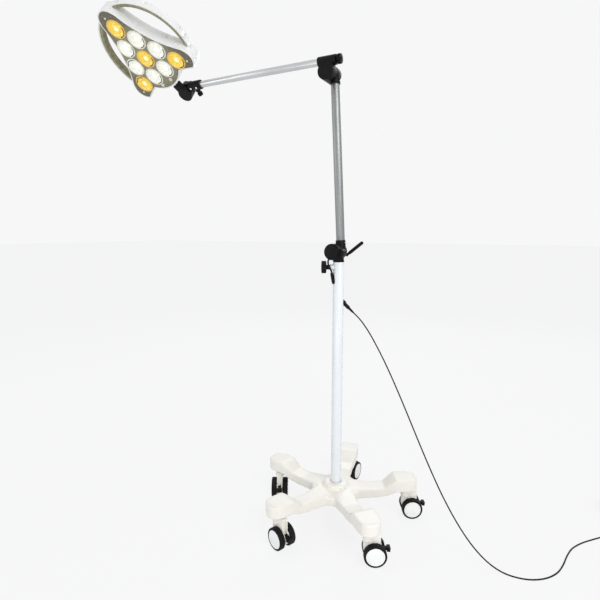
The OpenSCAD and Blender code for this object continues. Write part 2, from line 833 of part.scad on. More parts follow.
module castor_wheels() {
    at_axle() {
        rod_y(axle_r, -housing_w / 2 - 5, housing_w / 2 + 5);
        for (s = [0, 1]) mirror([0, s, 0]) translate([0, housing_w / 2 + 0.8, 0])
            rotate([-90, 0, 0]) difference() {
                soft_rod(disc_face_r, tyre_w + 0.8, 1);
                translate([0, 0, tyre_w + 0.2]) difference() {
                    cylinder(r = disc_face_r - 3, h = 2, $fn = 64);
                    cylinder(r = disc_face_r - 4.2, h = 2, $fn = 64);
                }
            }
    }
}

module castor_tyres() {
    at_axle() for (s = [0, 1]) mirror([0, s, 0]) translate([0, housing_w / 2 + 0.9, 0])
        rotate([-90, 0, 0]) rotate_extrude($fn = 80) polygon([[disc_face_r, 0], [wheel_r - 1.5, 0],
            [wheel_r, 1.5], [wheel_r, tyre_w - 1.5], [wheel_r - 1.5, tyre_w], [disc_face_r, tyre_w]]);
}

module castor_pedal() {
    at_axle() translate([pedal_pin_x, 0, pedal_pin_z]) difference() {
        union() {
            rod_y(5.5, -pedal_half_w, pedal_half_w);
            rotate([0, 6, 0]) translate([0, -pedal_half_w, -3]) cube([14, 2 * pedal_half_w, 7]);
            rotate([0, 6, 0]) translate([12.5, -8.5, -5]) cube([9, 17, 11]);
        }
        rod_y(pedal_pin_r + fit, -20, 20);
    }
}

base_shell();
ballast_plate();
column_bolt();
column_tube();
column_bush();
power_socket();
dc_plug();
power_cord();
power_cord_coil();
mains_adapter();
cable_boot();
clamp_knob();
tilt_base();
tilt_bolt();
tilt_cap();
link_cable();
clamp_lever();
tilt_arm();
post_tube();
post_screws();
elbow_base();
elbow_bolt();
boom_knob();
elbow_arm();
boom_tube();
wrist_base();
wrist_bolt();
wrist_knob();
wrist_screws();
neck_yoke();
head_stud();
head_shell();
face_panel();
handle_grips();
lenses_warm();
lenses_cool();
led_board();
face_screws();
button_power();
button_tone();
for (k = [0 : 4]) {
    color(WHITE) castor_frame(k) castor_housing();
    color(WHITE) castor_frame(k) castor_wheels();
    color(BLACK) castor_frame(k) castor_tyres();
    color(BLACK) castor_frame(k) castor_pedal();
}
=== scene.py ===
# %% [markdown]
# # A mobile examination lamp
# The lamp stands on five twin-wheel castors. A column carries a tilting post, the post carries a
# boom, and the boom carries a three-cornered head with ten lenses inside a ring handle.
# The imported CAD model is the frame: it fixes every size and every joint. Blender adds the looks,
# and each visible piece rides on the body of the frame that it belongs to.

# %% Load the frame
import json
import math

import bmesh
import bpy
from mathutils import Matrix, Vector

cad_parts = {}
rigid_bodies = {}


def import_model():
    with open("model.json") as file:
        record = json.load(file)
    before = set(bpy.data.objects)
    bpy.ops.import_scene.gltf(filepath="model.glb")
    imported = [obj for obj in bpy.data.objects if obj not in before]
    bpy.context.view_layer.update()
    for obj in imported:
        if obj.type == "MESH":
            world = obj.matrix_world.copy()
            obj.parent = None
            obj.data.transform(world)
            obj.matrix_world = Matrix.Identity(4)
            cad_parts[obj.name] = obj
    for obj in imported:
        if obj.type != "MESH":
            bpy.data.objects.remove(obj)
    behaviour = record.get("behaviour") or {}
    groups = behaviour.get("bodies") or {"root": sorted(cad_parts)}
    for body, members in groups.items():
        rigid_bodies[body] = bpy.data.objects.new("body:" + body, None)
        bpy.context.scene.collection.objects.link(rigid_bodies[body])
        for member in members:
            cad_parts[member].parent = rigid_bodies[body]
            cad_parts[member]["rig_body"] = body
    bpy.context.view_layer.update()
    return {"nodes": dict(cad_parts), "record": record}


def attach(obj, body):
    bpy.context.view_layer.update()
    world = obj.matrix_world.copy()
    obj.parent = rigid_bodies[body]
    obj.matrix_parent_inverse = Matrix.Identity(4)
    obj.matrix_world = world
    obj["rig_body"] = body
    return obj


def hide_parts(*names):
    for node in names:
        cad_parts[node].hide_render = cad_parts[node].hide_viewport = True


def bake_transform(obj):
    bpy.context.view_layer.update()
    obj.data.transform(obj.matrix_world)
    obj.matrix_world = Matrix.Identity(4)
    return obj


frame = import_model()
nodes = frame["nodes"]
MM = 0.001

# %% [markdown]
# ## Camera
# The lamp is seen from a little above its own middle and from its right. A plain camera needs a
# place, a direction and a lens, and no shift.

# %% Camera
scene = bpy.context.scene
bpy.ops.object.select_all(action="DESELECT")
bpy.ops.object.camera_add(
    location=(0.528, -1.242, 0.893),
    rotation=(math.radians(90 - 8.62), 0, math.radians(27.81)))
camera = bpy.context.object
camera.name = "studio_camera"
camera.data.sensor_width = 36
camera.data.lens = 27.67
scene.camera = camera
print("camera at", tuple(round(c, 3) for c in camera.location))

# %% [markdown]
# ## Small helpers for modelling
# The frame arrives with all its nodes selected, and operators work on whatever is selected. So
# each new piece starts with nothing selected, and ends with its place baked into its mesh.

# %% Helpers: selecting, copying and finishing


def only(obj):
    """Selects one object and makes it active."""
    if bpy.context.mode != "OBJECT":
        bpy.ops.object.mode_set(mode="OBJECT")
    bpy.ops.object.select_all(action="DESELECT")
    obj.select_set(True)
    bpy.context.view_layer.objects.active = obj
    return obj


def clear():
    if bpy.context.mode != "OBJECT":
        bpy.ops.object.mode_set(mode="OBJECT")
    bpy.ops.object.select_all(action="DESELECT")


def edit(obj, mode="VERT"):
    only(obj)
    bpy.ops.object.mode_set(mode="EDIT")
    bpy.ops.mesh.select_mode(type=mode)
    return bmesh.from_edit_mesh(obj.data)


def done(obj):
    bpy.ops.object.mode_set(mode="OBJECT")
    return obj


def copy_node(node, name, flat=True):
    """A merged copy of a CAD node, its flat faces whole again if flat. The node stays as it is."""
    clear()
    piece = nodes[node].copy()
    piece.data = nodes[node].data.copy()
    piece.parent = None
    piece.matrix_world = Matrix.Identity(4)
    for key in list(piece.keys()):
        del piece[key]
    bpy.context.collection.objects.link(piece)
    piece.name = name
    piece.data.name = name
    edit(piece)
    bpy.ops.mesh.select_all(action="SELECT")
    bpy.ops.mesh.remove_doubles(threshold=0.000005)
    if flat:
        bpy.ops.mesh.dissolve_limited(angle_limit=math.radians(0.4))
    return done(piece)


def apply(piece, kind, **settings):
    """Adds one modifier with its settings and applies it."""
    only(piece)
    modifier = piece.modifiers.new(kind.lower(), kind)
    for key, value in settings.items():
        setattr(modifier, key, value)
    bpy.ops.object.modifier_apply(modifier=modifier.name)
    return piece


def smooth(piece, angle=35):
    only(piece)
    bpy.ops.object.shade_smooth_by_angle(angle=math.radians(angle))
    return piece


def soften(piece, width, segments=2, angle=30):
    """Rounds every sharp edge, as moulding, casting or deburring does."""
    apply(piece, "BEVEL", width=width, segments=segments, limit_method="ANGLE",
          angle_limit=math.radians(angle), use_clamp_overlap=True, harden_normals=False)
    return smooth(piece)


def place(piece):
    """Bakes an object's place, turn and size into its mesh."""
    only(piece)
    bpy.ops.object.transform_apply(location=True, rotation=True, scale=True)
    return piece


def outward(piece):
    edit(piece)
    bpy.ops.mesh.select_all(action="SELECT")
    bpy.ops.mesh.remove_doubles(threshold=0.000002)
    bpy.ops.mesh.normals_make_consistent(inside=False)
    return done(piece)


def join(pieces, name):
    clear()
    for piece in pieces:
        piece.select_set(True)
    bpy.context.view_layer.objects.active = pieces[0]
    if len(pieces) > 1:
        bpy.ops.object.join()
    joined = bpy.context.object
    joined.name = name
    joined.data.name = name
    return joined


body_of_node = {}
for body_name, members in frame["record"]["behaviour"]["bodies"].items():
    for member in members:
        body_of_node[member] = body_name
slot_of_node = {s["node"]: s["material_slot"] for s in frame["record"]["subparts"]}


def seat(piece, *replaced, body=None):
    """Rides a piece on its body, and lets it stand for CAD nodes."""
    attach(piece, body or body_of_node[replaced[0]])
    if replaced:
        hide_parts(*replaced)
    return piece


print("helpers ready for", len(body_of_node), "nodes")

# %% [markdown]
# ## Power cord
# The lamp runs from a small adapter through a thin low-voltage lead, 4 mm across. The lead drops
# from the plug in the column to the floor, wanders along it and ends in a tied coil beside the
# adapter. A cord is one smooth open curve with a round bevel, so it is drawn as its centreline.

# %% Route of the cord
FREE_ROUTE = [
    (40.8, 21.5, 650.8), (60, 32, 628), (84, 40, 592), (112, 44, 544), (142, 44, 490),
    (174, 42, 428), (208, 38, 360), (244, 32, 288), (282, 24, 216), (322, 14, 148),
    (364, 2, 90), (406, -11, 46), (448, -22, 17), (488, -29, 4), (526, -29, 2),
    (562, -18, 2), (594, 6, 2), (618, 40, 2), (632, 80, 2), (642, 122, 2),
    (656, 164, 2), (680, 202, 2), (710, 236, 2), (742, 270, 2), (766, 302, 2),
    (775, 338, 2)]
COIL_CENTRE = Vector((801, 358, 0))
TURNS = [(27, 2), (23, 2), (23, 6), (27, 6), (23, 10), (27, 10)]
PER_TURN = 20


def catmull(a, b, c, d, t):
    return 0.5 * (2 * b + (c - a) * t + (2 * a - 5 * b + 4 * c - d) * t ** 2
                  + (3 * b - 3 * c + d - a) * t ** 3)


def flowing(points, steps):
    """A smooth line through the points."""
    points = [Vector(p) for p in points]
    last = len(points) - 1
    line = []
    for i in range(last):
        a, b = points[max(i - 1, 0)], points[i]
        c, d = points[i + 1], points[min(i + 2, last)]
        line += [catmull(a, b, c, d, s / steps) for s in range(steps)]
    return line + [points[last]]


def coil_point(turn, step):
    """A point of the coil; the last part of each turn climbs or shifts to the next one."""
    r0, z0 = TURNS[turn]
    r1, z1 = TURNS[min(turn + 1, len(TURNS) - 1)]
    share = max(0.0, (step / PER_TURN - 0.6) / 0.4)
    share = share * share * (3 - 2 * share)
    angle = math.pi - 2 * math.pi * step / PER_TURN
    radius = r0 + (r1 - r0) * share
    return COIL_CENTRE + Vector((radius * math.cos(angle), radius * math.sin(angle),
                                 z0 + (z1 - z0) * share))


coil = [coil_point(t, s) for t in range(len(TURNS)) for s in range(PER_TURN)]
coil.append(coil_point(len(TURNS) - 1, PER_TURN))
INTO_ADAPTER = [(774.6, 368, 10), (776, 380, 10), (776, 404, 10), (776, 428, 10)]
cord_line = flowing(FREE_ROUTE, 3)[:-1] + coil[1:] + [Vector(p) for p in INTO_ADAPTER]
cord_length = sum((b - a).length for a, b in zip(cord_line, cord_line[1:])) * MM
print("cord:", len(cord_line), "points,", round(cord_length, 3), "m")

# %% [markdown]
# The curve stays a curve: its bevel depth is half the lead's diameter, and its caps are filled.

# %% Cord as a curve


def drawn_line(name, line, radius, body):
    data = bpy.data.curves.new(name, "CURVE")
    data.dimensions = "3D"
    data.bevel_depth = radius
    data.bevel_resolution = 3
    data.use_fill_caps = True
    spline = data.splines.new("POLY")
    spline.points.add(len(line) - 1)
    for point, at in zip(spline.points, line):
        point.co = (*(Vector(at) * MM), 1)
    piece = bpy.data.objects.new(name, data)
    bpy.context.collection.objects.link(piece)
    spline.use_smooth = True
    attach(piece, body)
    return piece


power_lead = drawn_line("power_lead", cord_line, 2 * MM, "stand")
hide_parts("power_cord", "power_cord_coil")

# %% [markdown]
# ## Cable into the column
# A short cable leaves the tilt hinge and dives into a ribbed boot on the column. It crosses the
# swivel, and its mesh rides on no body.

# %% Cable between hinge and boot
LINK_ROUTE = [(-22, -17, 813), (-24, -20, 806), (-23, -23, 798), (-19, -25, 789),
              (-15.6, -22, 780), (-13.5, -17.3, 772)]
link_curve = drawn_line("hinge_cable", flowing(LINK_ROUTE, 5), 2.5 * MM, "stand")
link_curve.parent = None
link_curve.matrix_world = Matrix.Identity(4)
link_curve.data.bevel_resolution = 5
only(link_curve)
bpy.ops.object.convert(target="MESH")
hinge_cable = bpy.context.object
hinge_cable.name = "hinge_cable"
del hinge_cable["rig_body"]
smooth(hinge_cable, 60)
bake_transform(hinge_cable)
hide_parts("link_cable")
print("hinge cable:", len(hinge_cable.data.vertices), "points")

# %% [markdown]
# ## Shader maths
# Patterns are sums and products of noises, so a small class wraps a socket and lets Python's own
# operators add the Math nodes. Any other node comes from one method.

# %% A socket that can be added, multiplied and mixed


class Wire:
    def __init__(self, tree, socket):
        self.tree, self.socket = tree, socket

    def math(self, operation, *others):
        node = self.tree.nodes.new("ShaderNodeMath")
        node.operation = operation
        for socket, value in zip(node.inputs, (self, *others)):
            if isinstance(value, Wire):
                self.tree.links.new(value.socket, socket)
            else:
                socket.default_value = value
        return Wire(self.tree, node.outputs[0])

    def __add__(self, other):
        return self.math("ADD", other)

    __radd__ = __add__

    def __mul__(self, other):
        return self.math("MULTIPLY", other)

    __rmul__ = __mul__

    def __sub__(self, other):
        return self.math("SUBTRACT", other)

    def clamped(self):
        return self.math("MAXIMUM", 0.0).math("MINIMUM", 1.0)

    def step(self, low, high):
        """0 below low, 1 above high, smooth between."""
        node = self.tree.nodes.new("ShaderNodeMapRange")
        node.interpolation_type = "SMOOTHSTEP"
        node.inputs["From Min"].default_value = low
        node.inputs["From Max"].default_value = high
        self.tree.links.new(self.socket, node.inputs["Value"])
        return Wire(self.tree, node.outputs["Result"])


class Finish:
    """One material: its tree, its shader and the two or three calls that build patterns."""

    def __init__(self, name, base, roughness, **constants):
        self.material = bpy.data.materials.new(name)
        self.material.use_nodes = True
        self.tree = self.material.node_tree
        self.shader = self.tree.nodes["Principled BSDF"]
        self.shader.inputs["Base Color"].default_value = (*base, 1)
        self.shader.inputs["Roughness"].default_value = roughness
        for key, value in constants.items():
            self.shader.inputs[key.replace("_", " ")].default_value = value
        self.material.diffuse_color = (*base, 1)
        self.base = base
        self.place = self.node("ShaderNodeTexCoord", out="Object")

    def node(self, kind, settings=None, out=0, **values):
        made = self.tree.nodes.new(kind)
        for key, value in (settings or {}).items():
            setattr(made, key, value)
        for key, value in values.items():
            socket = made.inputs[key.replace("_", " ")]
            if isinstance(value, Wire):
                self.tree.links.new(value.socket, socket)
            else:
                socket.default_value = value
        return Wire(self.tree, made.outputs[out])

    def stretched(self, scale, rotation=(0, 0, 0), location=(0, 0, 0)):
        """Object coordinates seen through a Mapping node."""
        return self.node("ShaderNodeMapping", {"vector_type": "TEXTURE"}, Vector=self.place,
                         Scale=scale, Rotation=rotation, Location=location)

    def noise(self, scale, detail=3.0, at=None, roughness=0.5):
        return self.node("ShaderNodeTexNoise", out="Fac", Vector=at or self.place,
                         Scale=scale, Detail=detail, Roughness=roughness)

    def cells(self, scale, at=None):
        return self.node("ShaderNodeTexVoronoi", out="Distance", Vector=at or self.place,
                         Scale=scale)

    def blend(self, factor, first, second):
        """A colour between two, by a factor."""
        made = self.tree.nodes.new("ShaderNodeMix")
        made.data_type = "RGBA"
        self.tree.links.new(factor.socket, made.inputs[0])
        for socket, value in ((made.inputs[6], first), (made.inputs[7], second)):
            if isinstance(value, Wire):
                self.tree.links.new(value.socket, socket)
            else:
                socket.default_value = (*value, 1)
        return Wire(self.tree, made.outputs[2])

    def into(self, socket, wire):
        self.tree.links.new(wire.socket, self.shader.inputs[socket])
        return self

    def bump(self, height, distance, strength=1.0):
        made = self.node("ShaderNodeBump", out="Normal", Height=height, Distance=distance,
                         Strength=strength)
        return self.into("Normal", made)


print("shader helpers ready")

# %% [markdown]
# ## Moulded and painted whites
# The base and the head are moulded in a warm white, with a faint orange-peel skin. The column is
# steel tube with a cooler powder coat, which is glossier and has a finer peel.

# %% White finishes
white = Finish("white_moulding", (0.86, 0.84, 0.78), 0.34, IOR=1.5, Coat_Roughness=0.25)
drift = white.noise(9, 2)
white.into("Base Color", white.blend(drift.step(0.3, 0.7), (0.85, 0.82, 0.75),
                                     (0.89, 0.865, 0.805)))
white.into("Roughness", white.noise(55, 3) * 0.14 + 0.27)
white.bump(white.noise(420, 2) + white.noise(900, 1) * 0.4, 0.00012, 0.35)

gloss = Finish("white_gloss", (0.84, 0.84, 0.82), 0.16, IOR=1.5, Coat_Weight=0.4,
               Coat_Roughness=0.06)
gloss.into("Base Color", gloss.blend(gloss.noise(12, 2).step(0.3, 0.7), (0.8, 0.805, 0.785),
                                     (0.865, 0.865, 0.845)))
gloss.into("Roughness", gloss.noise(60, 3) * 0.12 + 0.12)
gloss.bump(gloss.noise(500, 2), 0.0001, 0.25)

paint = Finish("white_paint", (0.8, 0.83, 0.855), 0.26, IOR=1.5, Coat_Roughness=0.12)
paint.into("Base Color", paint.blend(paint.noise(14, 2).step(0.35, 0.7), (0.78, 0.81, 0.84),
                                     (0.82, 0.845, 0.865)))
paint.into("Roughness", paint.noise(70, 3) * 0.12 + 0.2)
paint.bump(paint.noise(700, 2), 0.0001, 0.3)
cap = Finish("white_cap", (0.93, 0.93, 0.915), 0.22, IOR=1.5, Coat_Roughness=0.1)
cap.into("Base Color", cap.blend(cap.noise(30, 3).step(0.3, 0.7), (0.9, 0.9, 0.88),
                                 (0.94, 0.94, 0.93)))
cap.into("Roughness", cap.noise(120, 3) * 0.14 + 0.16)
cap.bump(cap.noise(700, 2), 0.0001, 0.3)
print("white finishes ready")

# %% [markdown]
# ## Black mouldings, rubber and cable
# The hinge castings and knobs have the fine sparkle of a spark-eroded mould: a dense bump, and a
# roughness that varies. Rubber is rougher and picks up dust, so its colour lifts in patches.

# %% Black finishes
black = Finish("black_moulding", (0.005, 0.005, 0.005), 0.5, IOR=1.5, Specular_IOR_Level=0.13)
worn = black.noise(26, 5, roughness=0.65)
black.into("Base Color", black.blend(worn.step(0.45, 0.8), (0.003, 0.003, 0.0032),
                                     (0.011, 0.011, 0.0115)))
black.into("Roughness", black.noise(180, 2) * 0.28 + 0.32)
black.bump(black.noise(1300, 2) + black.noise(400, 1) * 0.5, 0.00025, 0.45)

tyre = Finish("tyre_rubber", (0.009, 0.009, 0.009), 0.7, IOR=1.45, Specular_IOR_Level=0.15)
dust = tyre.noise(40, 5, roughness=0.7)
tyre.into("Base Color", tyre.blend(dust.step(0.45, 0.75), (0.006, 0.006, 0.0062),
                                   (0.022, 0.021, 0.02)))
tyre.into("Roughness", dust * 0.3 + 0.5)
tyre.bump(tyre.noise(900, 3), 0.0002, 0.5)

flex = Finish("black_flex", (0.008, 0.008, 0.008), 0.45, IOR=1.5, Specular_IOR_Level=0.15)
flex.into("Roughness", flex.noise(120, 3) * 0.3 + 0.3)
flex.into("Base Color", flex.blend(flex.noise(60, 2).step(0.4, 0.7), (0.006, 0.006, 0.0062),
                                   (0.016, 0.016, 0.017)))
flex.bump(flex.noise(1500, 2), 0.0001, 0.3)
print("black finishes ready")

# %% [markdown]
# ## Metals
# The post and the boom are drawn aluminium tube: fine scratches run along them. Stretching a noise
# along the tube's own direction draws those lines, in the roughness and in a very fine bump.

# %% Metal finishes


def drawn_metal(name, colour, along, roughness, tilt=0.0):
    """Metal with fine lines along one axis of the object, 0 for x and 2 for z."""
    finish = Finish(name, colour, roughness, Metallic=1.0)
    scale = [1.0, 1.0, 1.0]
    scale[along] = 60.0
    lines = finish.noise(900, 2, at=finish.stretched(scale, rotation=(0, tilt, 0)))
    cloud = finish.noise(12, 3)
    finish.into("Roughness", lines * 0.22 + cloud * 0.12 + (roughness - 0.15))
    finish.into("Base Color", finish.blend(cloud.step(0.3, 0.7), tuple(c * 0.9 for c in colour),
                                           colour))
    finish.bump(lines, 0.00006, 0.5)
    return finish


post_metal = drawn_metal("satin_post", (0.29, 0.3, 0.3), 2, 0.44, tilt=math.radians(-2.9))
boom_metal = drawn_metal("satin_boom", (0.62, 0.63, 0.635), 0, 0.34)
steel = Finish("bright_steel", (0.75, 0.76, 0.78), 0.2, Metallic=1.0)
steel.into("Roughness", steel.noise(260, 4) * 0.24 + 0.1)
steel.bump(steel.noise(800, 2), 0.00005, 0.3)
iron = Finish("ballast_iron", (0.07, 0.07, 0.075), 0.75)
iron.into("Base Color", iron.blend(iron.noise(35, 5).step(0.4, 0.7), (0.05, 0.05, 0.053),
                                   (0.11, 0.1, 0.095)))
iron.bump(iron.noise(300, 4), 0.0006, 0.6)
print("metal finishes ready")

# %% [markdown]
# ## Khaki face, cream plastic, lenses and their bezels
# The face plate is a khaki plastic with a salt-and-pepper fleck, and painted shade darkens it
# towards its corners. The grips inside the ring are the same khaki, which is painted shade on the
# ring's inner face. The lenses glow: their colour runs from the middle of each lens to its rim, so
# each lens carries an attribute, reach, that is 0 at its middle and 1 at its rim.

# %% Head finishes
khaki = Finish("khaki_face", (0.27, 0.25, 0.175), 0.5, IOR=1.5)
fleck = khaki.noise(520, 3, roughness=0.7)
pepper = khaki.cells(650)
HEAD_MIDDLE = (-0.586, -0.136, 1.408)
from_middle = khaki.node("ShaderNodeVectorMath", {"operation": "LENGTH"}, out=1,
                         Vector=khaki.stretched((1, 1, 1), location=HEAD_MIDDLE))
ground = khaki.blend(pepper.step(0.1, 0.5), (0.125, 0.112, 0.07), (0.28, 0.255, 0.17))
# Painted shade: the face plate darkens towards its corners, by distance from the head's middle.
ground = khaki.blend(from_middle.step(0.075, 0.125) * 0.75, ground, (0.07, 0.06, 0.035))
khaki.into("Base Color", khaki.blend(fleck.step(0.54, 0.68), ground, (0.5, 0.465, 0.36)))
khaki.into("Roughness", fleck * 0.3 + 0.35)
khaki.bump(fleck, 0.00015, 0.5)

# Painted shade: the grips' khaki stands for the ring's inner face in shade, turned away from the
# light above.
grip = Finish("khaki_grip_painted_shade", (0.3, 0.28, 0.17), 0.5, IOR=1.5)
grip.into("Base Color", grip.blend(grip.noise(60, 4).step(0.35, 0.7), (0.23, 0.21, 0.12),
                                   (0.34, 0.315, 0.195)))
grip.into("Roughness", grip.noise(300, 3) * 0.25 + 0.35)
grip.bump(grip.noise(800, 2), 0.0001, 0.4)

cream = Finish("cream_plastic", (0.7, 0.66, 0.5), 0.35, IOR=1.5)
cream.into("Base Color", cream.blend(cream.noise(90, 3).step(0.35, 0.7), (0.66, 0.62, 0.46),
                                     (0.76, 0.72, 0.57)))
cream.into("Roughness", cream.noise(250, 2) * 0.2 + 0.24)
cream.bump(cream.noise(900, 2), 0.0001, 0.3)

board = Finish("board_green", (0.03, 0.13, 0.06), 0.4, IOR=1.5)
board.into("Base Color", board.blend(board.cells(220).step(0.2, 0.3), (0.02, 0.1, 0.045),
                                     (0.05, 0.19, 0.09)))


def lens_finish(name, heart, middle, rim, glow):
    """Lit plastic optics: a bright heart, a coloured middle, a deeper rim and small facets."""
    finish = Finish(name, middle, 0.12, IOR=1.5, Coat_Weight=0.6, Coat_Roughness=0.05,
                    Emission_Strength=glow)
    reach = finish.node("ShaderNodeAttribute", {"attribute_name": "reach"}, out="Fac")
    sparkle = finish.noise(170, 4, roughness=0.7)
    facet = finish.cells(120).step(0.1, 0.5)
    inner = finish.blend((reach + sparkle * 0.4 - 0.2).step(0.12, 0.6), heart, middle)
    shaded = finish.blend(facet * 0.75 * reach.step(0.1, 0.5), inner, rim)
    colour = finish.blend(reach.step(0.74, 0.97), shaded, rim)
    finish.into("Base Color", colour)
    finish.into("Emission Color", colour)
    finish.into("Roughness", sparkle * 0.2 + 0.04)
    finish.bump(sparkle + facet * 0.5, 0.0009, 0.6)
    return finish


warm = lens_finish("warm_lens", (1.0, 0.95, 0.56), (0.96, 0.79, 0.12), (0.76, 0.48, 0.03), 0.3)
cool = lens_finish("cool_lens", (1.0, 1.0, 0.98), (0.94, 0.95, 0.91), (0.62, 0.62, 0.52), 0.42)
bezels = {}
for kind, tint, edge in (("warm", (0.88, 0.62, 0.16), (0.68, 0.42, 0.08)),
                         ("cool", (0.88, 0.88, 0.8), (0.68, 0.68, 0.57))):
    bezel = Finish(kind + "_bezel", tint, 0.18, IOR=1.5, Coat_Weight=0.5, Coat_Roughness=0.05)
    bezel.into("Base Color", bezel.blend(bezel.noise(210, 3).step(0.35, 0.65), edge, tint))
    bezel.into("Roughness", bezel.noise(260, 2) * 0.2 + 0.08)
    bezel.bump(bezel.noise(500, 2), 0.0002, 0.4)
    bezels[kind] = bezel
finish_of_slot = {
    "white_moulding": white, "white_paint": paint, "black_moulding": black, "black_flex": flex,
    "tyre_rubber": tyre, "satin_tube": boom_metal, "bright_steel": steel, "ballast_iron": iron,
    "khaki_plastic": khaki, "cream_plastic": cream, "warm_lens": warm, "cool_lens": cool,
    "board_green": board}
print("finishes:", ", ".join(sorted(f.material.name for f in finish_of_slot.values())))


def clad(piece, finish):
    """Gives a piece one finish all over."""
    piece.data.materials.clear()
    piece.data.materials.append(finish.material)
    return piece


for node_name, node_object in nodes.items():
    clad(node_object, finish_of_slot[slot_of_node[node_name]])
clad(power_lead, flex)
clad(hinge_cable, flex)

# %% [markdown]
# ## Moulded base
# The star base is one moulding: legs flow into a hub and swell into a pad over each castor. The
# CAD solid has the right planes but hard edges. A voxel remesh of its copy gives an even skin, and
# a few rounds of smoothing melt the edges as a mould's fillets do.

# %% Base shell


def melted(piece, voxel, rounds):
    """An even skin over a solid, its edges melted into fillets."""
    only(piece)
    piece.data.remesh_voxel_size = voxel
    piece.data.remesh_voxel_adaptivity = 0
    bpy.ops.object.voxel_remesh()
    apply(piece, "SMOOTH", factor=0.5, iterations=rounds)
    bpy.ops.object.shade_smooth()
    return piece


base = copy_node("base_shell", "star_base", flat=False)
melted(base, 2.4 * MM, 16)
seat(clad(base, white), "base_shell")
print("star base:", len(base.data.polygons), "faces")

# %% [markdown]
# ## Softened hard parts
# Cast, turned and moulded parts all have broken edges that catch a line of light. Each CAD solid
# is copied, merged and given a bevel as wide as its making leaves.

# %% Softened copies of the hard parts
EDGE = {
    "column_tube": 0.4, "column_bush": 0.3, "power_socket": 0.5, "dc_plug": 0.4,
    "mains_adapter": 3.0, "cable_boot": 0.5, "clamp_knob": 1.2, "tilt_base": 1.0,
    "tilt_bolt": 0.5, "tilt_cap": 0.6, "clamp_lever": 1.2, "tilt_arm": 1.0, "post_tube": 0.3,
    "post_screws": 0.4, "elbow_base": 1.0, "elbow_bolt": 0.5, "boom_knob": 0.5,
    "elbow_arm": 1.0, "boom_tube": 0.3, "wrist_base": 0.8, "wrist_bolt": 0.5,
    "wrist_knob": 0.6, "wrist_screws": 0.4, "neck_yoke": 1.0, "head_stud": 0.5,
    "face_screws": 0.3, "button_power": 0.5, "button_tone": 0.5}
softened = {}
for node_name, width in EDGE.items():
    piece = copy_node(node_name, node_name + "_piece")
    soften(piece, width * MM, segments=3 if width >= 1 else 2)
    clad(piece, finish_of_slot[slot_of_node[node_name]])
    softened[node_name] = seat(piece, node_name)
clad(softened["post_tube"], post_metal)
print("softened:", len(softened), "pieces")

# %% [markdown]
# ## Castors
# Each castor is a housing between two wheels with rubber tyres and a small brake pedal. Every
# piece is a softened copy of its own CAD node, and the wheels are a cleaner white than the base.

# %% Castors
CASTORS = 5
CASTOR_EDGE = {"housing": 1.2, "wheels": 0.6, "tyres": 0.7, "pedal": 0.8}
for k in range(1, CASTORS + 1):
    for part, width in CASTOR_EDGE.items():
        node_name = f"castor_{k}_{part}"
        piece = copy_node(node_name, node_name + "_piece")
        soften(piece, width * MM, segments=3)
        finish = cap if part == "wheels" else finish_of_slot[slot_of_node[node_name]]
        seat(clad(piece, finish), node_name)
print("castors:", CASTORS)

# %% [markdown]
# ## The head's own frame
# The head is modelled flat, in its own frame: x across, y back from the face and z away from the
# wrist. One matrix puts each finished piece at its place on the arm, and is then baked in.

# %% Head frame
LEAN = math.radians(2.9)
ELBOW = Vector((-9.5 - 493 * math.sin(LEAN), 0, 831 + 493 * math.cos(LEAN))) * MM
WRIST = (Matrix.Translation(ELBOW + Vector((-509, -15, 28)) * MM)
         @ Matrix.Rotation(math.radians(53.4), 4, "X"))
NECK = (WRIST @ Matrix.Translation(Vector((0, 0, -15)) * MM)
        @ Matrix.Rotation(math.radians(-16.4), 4, "Y"))
HEAD = NECK @ Matrix.Translation(Vector((0, -26.3, 152)) * MM)
FACE_UP = Matrix.Rotation(math.radians(90), 4, "X")


def on_head(piece, at=(0, 0, 0), turn=0.0):
    """Puts a piece modelled with +Z out of the face at a place (x, y, z) in millimetres."""
    spin = Matrix.Rotation(turn, 4, "Z")
    piece.matrix_world = HEAD @ Matrix.Translation(Vector(at) * MM) @ FACE_UP @ spin
    return place(piece)


print("head centre:", tuple(round(c, 4) for c in HEAD.translation))

# %% [markdown]
# ## Head shell
# The white shell is one deep moulding: a three-cornered tray whose corners run out into the ring.
# Like the base it is remeshed from its solid and melted a little, finer because it is seen closer.

# %% Head shell
shell = copy_node("head_shell", "head_body", flat=False)
melted(shell, 1.4 * MM, 5)
seat(clad(shell, gloss), "head_shell")
print("head body:", len(shell.data.polygons), "faces")

# %% [markdown]
# ## Face plate
# The face plate is a flat khaki panel that drops into the shell. A clear flange, tinted as
# its lens is, lies round each hole. The panel is a softened copy, and a flange is one ring.

# %% Face plate and bezels
PITCH = 61
BEZEL_IN, BEZEL_OUT, BEZEL_T = 25.2, 28.8, 0.9
LENS_ROWS = {"warm": [(0, 0), (3, 0), (0, 3), (1, 1)],
             "cool": [(1, 0), (0, 1), (2, 0), (0, 2), (2, 1), (1, 2)]}


def lens_place(i, j):
    return ((i - j) * PITCH / 2, 0, math.sqrt(3) * PITCH * (1 - (i + j) / 2))


def ring(name, inner, outer, height, sides=64):
    """A flat ring with a rounded top, standing on z = 0; sizes in millimetres."""
    clear()
    bpy.ops.mesh.primitive_circle_add(vertices=sides, radius=outer * MM, fill_type="NGON")
    piece = bpy.context.object
    piece.name = name
    edit(piece, "FACE")
    bpy.ops.mesh.select_all(action="SELECT")
    bpy.ops.mesh.inset(thickness=(outer - inner) * MM, depth=0)
    bpy.ops.mesh.delete(type="FACE")
    bpy.ops.mesh.select_all(action="SELECT")
    bpy.ops.mesh.extrude_region_move(TRANSFORM_OT_translate={"value": (0, 0, height * MM)})
    done(piece)
    outward(piece)
    soften(piece, min(outer - inner, height) * 0.3 * MM, segments=2)
    return piece


panel = copy_node("face_panel", "face_plate")
soften(panel, 0.5 * MM, segments=2)
seat(clad(panel, khaki), "face_panel")

